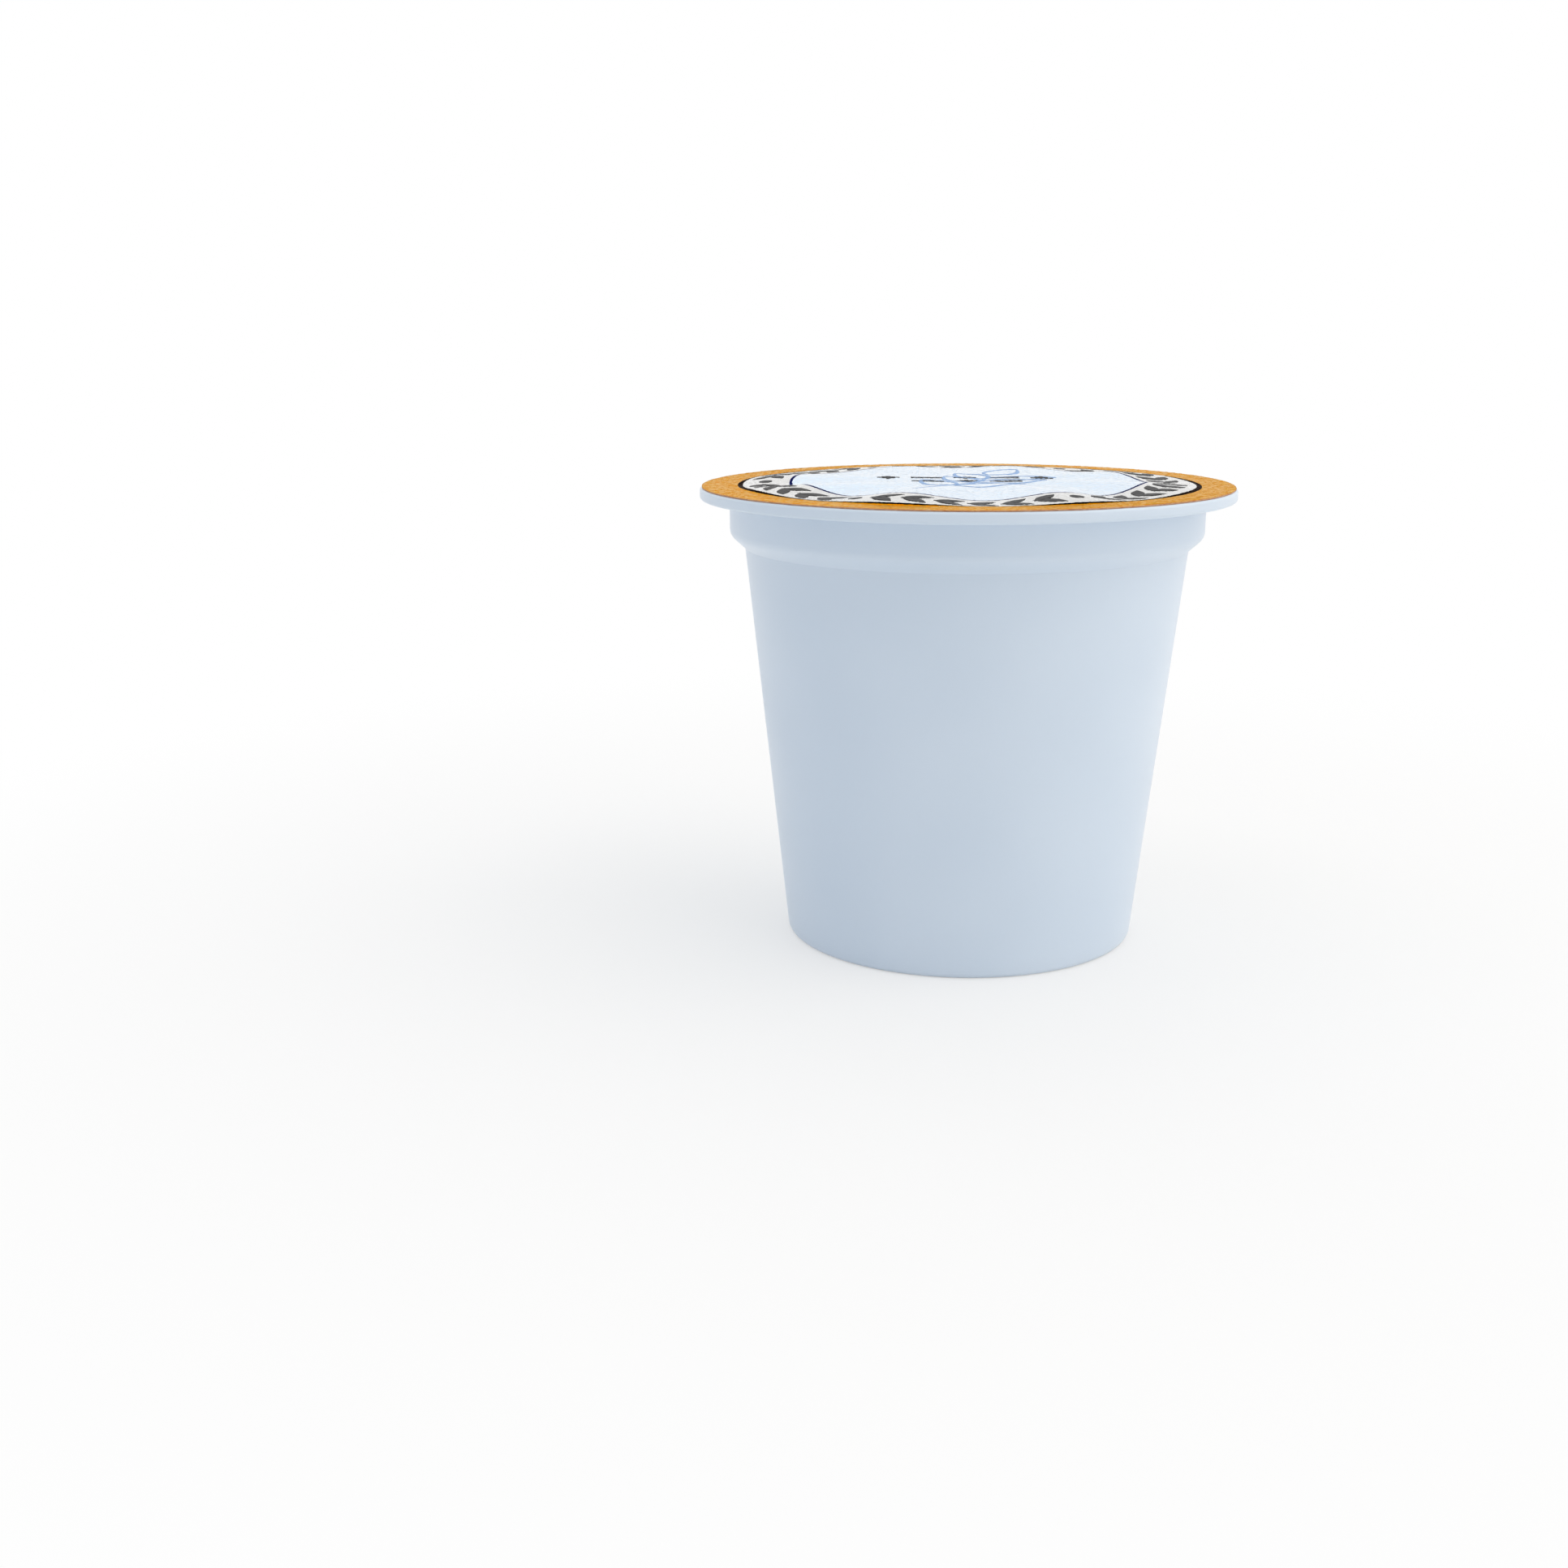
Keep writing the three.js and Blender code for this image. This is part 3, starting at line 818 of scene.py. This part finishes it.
leaves = grow("printed_garland", empty_start("printed_garland"), garland(), {
    "Steps": RING_STEPS, "Steps to berry": STEPS_TO_BERRY, "Ink": ring_ink})
print("garland:", len(leaves.data.polygons), "faces")

# %% [markdown]
# The middle of the lid carries a line drawing in pale blue. Here it is a plain sprig: a bent
# stem with leaves in pairs and one at its tip. Each line is a ribbon that swells in the middle
# like a brush stroke, drawn by a short function along a row of points.

# %% Draw the sprig
STEM_LENGTH = 17 * MM
STEM_BEND = 2.2 * MM
STEM_LEAN = math.radians(-24)
STEM_MIDDLE = (-1.3 * MM, -2.7 * MM)
SPRIG_LEAF_LENGTH = 7.2 * MM
SPRIG_LEAF_WIDTH = 2.9 * MM
SPRIG_LEAF_OPEN = math.radians(48)
SPRIG_LEAF_FULLNESS = 0.8
LEAF_PLACES = (0.28, 0.52, 0.76)
LEAF_EDGE_ENDS = (0.01, 0.99)
STROKE_THIN = 0.16 * MM
STROKE_THICK = 0.46 * MM
STROKE_STEPS = 40


def stroke(shape, points, thin, thick):
    """A flat ribbon along points in the plane. It is thin at its ends and thick in its middle."""
    last = len(points) - 1
    rows = []
    for index, point in enumerate(points):
        ahead = points[min(index + 1, last)] - points[max(index - 1, 0)]
        side = Vector((-ahead.y, ahead.x)).normalized()
        half = (thin + (thick - thin) * math.sin(math.pi * index / last)) / 2
        rows.append([shape.verts.new((*(point + side * half * place), 0)) for place in (1, 0, -1)])
    for row, following in zip(rows, rows[1:]):
        for left, right in ((0, 1), (1, 2)):
            shape.faces.new((row[left], row[right], following[right], following[left]))


def stem_point(share):
    """A place on the bent stem, from 0 at its foot to 1 at its tip."""
    sideways = STEM_BEND * math.sin(math.pi * share)
    upright = Vector((sideways, STEM_LENGTH * (share - 0.5)))
    return Vector(STEM_MIDDLE) + Matrix.Rotation(STEM_LEAN, 2) @ upright


def leaf_edge(root, direction, side):
    """One edge of a leaf, from near its root to near its tip, so it never joins the other edge."""
    first, last = LEAF_EDGE_ENDS
    points = []
    for step in range(STROKE_STEPS + 1):
        share = first + (last - first) * step / STROKE_STEPS
        bulge = side * SPRIG_LEAF_WIDTH / 2 * math.sin(math.pi * share ** SPRIG_LEAF_FULLNESS)
        points.append(root + Matrix.Rotation(direction, 2) @ Vector((bulge, SPRIG_LEAF_LENGTH * share)))
    return points


def sprig_lines():
    """All the lines of the sprig, flat in the plane."""
    shape = bmesh.new()
    stem = [stem_point(step / STROKE_STEPS) for step in range(STROKE_STEPS + 1)]
    stroke(shape, stem, STROKE_THIN, STROKE_THICK)
    pairs = [(place, STEM_LEAN + side * SPRIG_LEAF_OPEN) for place in LEAF_PLACES for side in (1, -1)]
    for place, direction in pairs + [(1.0, STEM_LEAN)]:
        for side in (1, -1):
            stroke(shape, leaf_edge(stem_point(place), direction, side), STROKE_THIN, STROKE_THICK)
    mesh = bpy.data.meshes.new("printed_sprig")
    shape.to_mesh(mesh)
    shape.free()
    return bpy.data.objects.new("printed_sprig", mesh)


sprig = grow("printed_sprig", sprig_lines(), drape, {"Ink": drawing_ink})
print("sprig:", len(sprig.data.polygons), "faces")

# %% [markdown]
# An ink-jet head marks each pod as it passes, in coarse square dots. Two short rows of
# lozenges and bars stand in for the marks. The dots are only points here, and a tree sets a
# small square on each and drapes it.

# %% Mark the ink-jet rows
DOT_PITCH = 0.44 * MM
DOT_SIZE = 0.425 * MM
MARK_PITCH = 3.7 * MM
ROW_DROP = 3.7 * MM
ROWS_TURN = math.radians(3)
LOZENGE = [(i, j) for i in range(-2, 3) for j in range(-2, 3) if abs(i) + abs(j) <= 2]
BAR = [(i, j) for i in range(-3, 4) for j in (-1, 1)]
UPPER_ROW = [LOZENGE, BAR, LOZENGE, BAR, LOZENGE]
LOWER_ROW = [BAR, LOZENGE, BAR]


def row_points(marks, height):
    """The dots of one row of marks, centred from left to right."""
    points = []
    for number, mark in enumerate(marks):
        middle = (number - (len(marks) - 1) / 2) * MARK_PITCH
        points += [Vector((middle + i * DOT_PITCH, height + j * DOT_PITCH)) for i, j in mark]
    return points


def jet_dots():
    """The tree that sets a square dot on each point."""
    tree, given, result = new_group("ink_jet_dots", [
        ("Geometry", "Geometry", None),
        ("Dot size", "Float", DOT_SIZE),
        ("Ink", "Material", None),
    ], [("Geometry", "Geometry")])
    square = add_node(tree, "GeometryNodeMeshGrid", {
        "Size X": given["Dot size"], "Size Y": given["Dot size"], "Vertices X": 3, "Vertices Y": 3})
    dots = add_node(tree, "GeometryNodeInstanceOnPoints", {"Points": given["Geometry"], "Instance": square})
    real = add_node(tree, "GeometryNodeRealizeInstances", {0: dots})
    laid = add_node(tree, "GeometryNodeGroup", node_tree=drape)
    tree.links.new(real.outputs[0], laid.inputs["Geometry"])
    tree.links.new(given["Ink"], laid.inputs["Ink"])
    tree.links.new(laid.outputs[0], result["Geometry"])
    return tree


dot_places = row_points(UPPER_ROW, ROW_DROP / 2) + row_points(LOWER_ROW, -ROW_DROP / 2)
turned_places = [Matrix.Rotation(ROWS_TURN, 2) @ place for place in dot_places]
dot_start = empty_start("ink_jet_marks")
dot_start.data.from_pydata([(place.x, place.y, 0) for place in turned_places], [], [])
jet_marks = grow("ink_jet_marks", dot_start, jet_dots(), {"Dot size": DOT_SIZE, "Ink": jet_ink})
print("ink-jet marks:", len(turned_places), "dots")

# %% [markdown]
# A pale, plain stage: a large floor that fades to white away from the pod, three soft panels,
# overhead and at each side, and a bright surround. What the camera sees directly is plain
# white, and so is what glossy plastic and foil mirror, apart from a dimmer ceiling. What
# lights the pod is lower, so whites keep their shading and a colour comes out about as it is
# written. The panels are large, because foil mirrors them, and a small bright one would clip.

# %% Floor, surround and lamps
FLOOR_SIZE = 20.0
FLOOR_COLOUR = "#f4f4f3"
FADE_START = 0.025
FADE_END = 0.15
FADE_NEAR = 0.45
SURROUND_STRENGTH = 0.42
ZENITH_MIRRORED = 0.45
ZENITH_START = 0.3
PANELS = [
    ("overhead_panel", (0.05, 0.1, 0.55), 1.0, 2.6, "#ffffff"),
    ("left_panel", (-0.42, -0.28, 0.42), 0.75, 0.6, "#dceaff"),
    ("right_panel", (0.48, -0.16, 0.34), 0.75, 1.5, "#fff8f0"),
]


def seen_directly(tree):
    """1 for what the camera or a reflection sees, and 0 for what only lights the scene."""
    rays = add_node(tree, "ShaderNodeLightPath").outputs
    clear = add_node(tree, "ShaderNodeMath", {
        0: rays["Is Glossy Ray"], 1: rays["Is Transmission Ray"]}, operation="MAXIMUM")
    return add_node(tree, "ShaderNodeMath", {0: rays["Is Camera Ray"], 1: clear}, operation="MAXIMUM")


def pale_floor():
    """Matt white board. Far from the pod it turns to plain white for the eye."""
    material, tree, shader = new_material("matt_white_board")
    shader.inputs["Base Color"].default_value = linear(FLOOR_COLOUR)
    shader.inputs["Roughness"].default_value = 0.9
    shader.inputs["Specular IOR Level"].default_value = 0.1
    coordinates = add_node(tree, "ShaderNodeTexCoord").outputs["Object"]
    distance = add_node(tree, "ShaderNodeVectorMath", {0: coordinates}, operation="LENGTH").outputs["Value"]
    far = add_node(tree, "ShaderNodeMapRange", {
        "Value": distance, "From Min": FADE_START, "From Max": FADE_END, "To Min": FADE_NEAR},
        interpolation_type="SMOOTHSTEP")
    amount = add_node(tree, "ShaderNodeMath", {0: far, 1: seen_directly(tree)}, operation="MULTIPLY")
    white = add_node(tree, "ShaderNodeEmission", {"Color": (1, 1, 1, 1), "Strength": 1.0})
    blend = add_node(tree, "ShaderNodeMixShader", {0: amount, 1: shader, 2: white})
    tree.links.new(blend.outputs[0], tree.nodes["Material Output"].inputs["Surface"])
    return material


def stage_floor():
    """One large square of floor, just under the foot."""
    shape = bmesh.new()
    bmesh.ops.create_grid(shape, x_segments=1, y_segments=1, size=FLOOR_SIZE / 2)
    bmesh.ops.translate(shape, verts=shape.verts, vec=(0, 0, cup_low.z - 0.01 * MM))
    return add_object("floor", shape, pale_floor())


def light_surround():
    """Plain white for the eye, an even soft light for all else, and a dimmer ceiling to mirror."""
    world = bpy.data.worlds.new("soft_surround")
    bpy.context.scene.world = world
    world.use_nodes = True
    tree = world.node_tree
    rays = add_node(tree, "ShaderNodeLightPath").outputs
    direction = add_node(tree, "ShaderNodeTexCoord").outputs["Generated"]
    height = add_node(tree, "ShaderNodeSeparateXYZ", {0: direction}).outputs["Z"]
    mirrored = add_node(tree, "ShaderNodeMapRange", {
        "Value": height, "From Min": ZENITH_START, "To Min": 1.0, "To Max": ZENITH_MIRRORED},
        interpolation_type="SMOOTHSTEP")
    lit = add_node(tree, "ShaderNodeMix", {
        "Factor": rays["Is Glossy Ray"], "A": SURROUND_STRENGTH, "B": mirrored}, data_type="FLOAT")
    seen = add_node(tree, "ShaderNodeMath", {
        0: rays["Is Camera Ray"], 1: rays["Is Transmission Ray"]}, operation="MAXIMUM")
    strength = add_node(tree, "ShaderNodeMix", {"Factor": seen, "A": lit, "B": 1.0}, data_type="FLOAT")
    tree.links.new(strength.outputs[0], tree.nodes["Background"].inputs["Strength"])
    tree.nodes["Background"].inputs["Color"].default_value = (1, 1, 1, 1)


def soft_panel(name, place, size, power, colour):
    """A square area lamp that faces the pod: its side is in metres and its power in watts."""
    data = bpy.data.lights.new(name, "AREA")
    data.shape = "SQUARE"
    data.size = size
    data.energy = power
    data.color = linear(colour)[:3]
    lamp = bpy.data.objects.new(name, data)
    aim = Vector((0, 0, CUP_HEIGHT / 2)) - Vector(place)
    lamp.matrix_world = Matrix.Translation(place) @ aim.to_track_quat("-Z", "Y").to_matrix().to_4x4()
    bpy.context.scene.collection.objects.link(lamp)


floor = stage_floor()
light_surround()
for panel in PANELS:
    soft_panel(*panel)
print("lamps:", len(bpy.data.lights))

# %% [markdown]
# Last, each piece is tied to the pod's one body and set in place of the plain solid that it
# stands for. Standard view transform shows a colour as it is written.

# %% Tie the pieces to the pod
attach(cup, "root")
for printed in (lid, leaves, sprig, jet_marks):
    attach(printed, "root")
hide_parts("filled_cup")
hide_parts("foil_lid")
bpy.context.scene.view_settings.view_transform = "Standard"
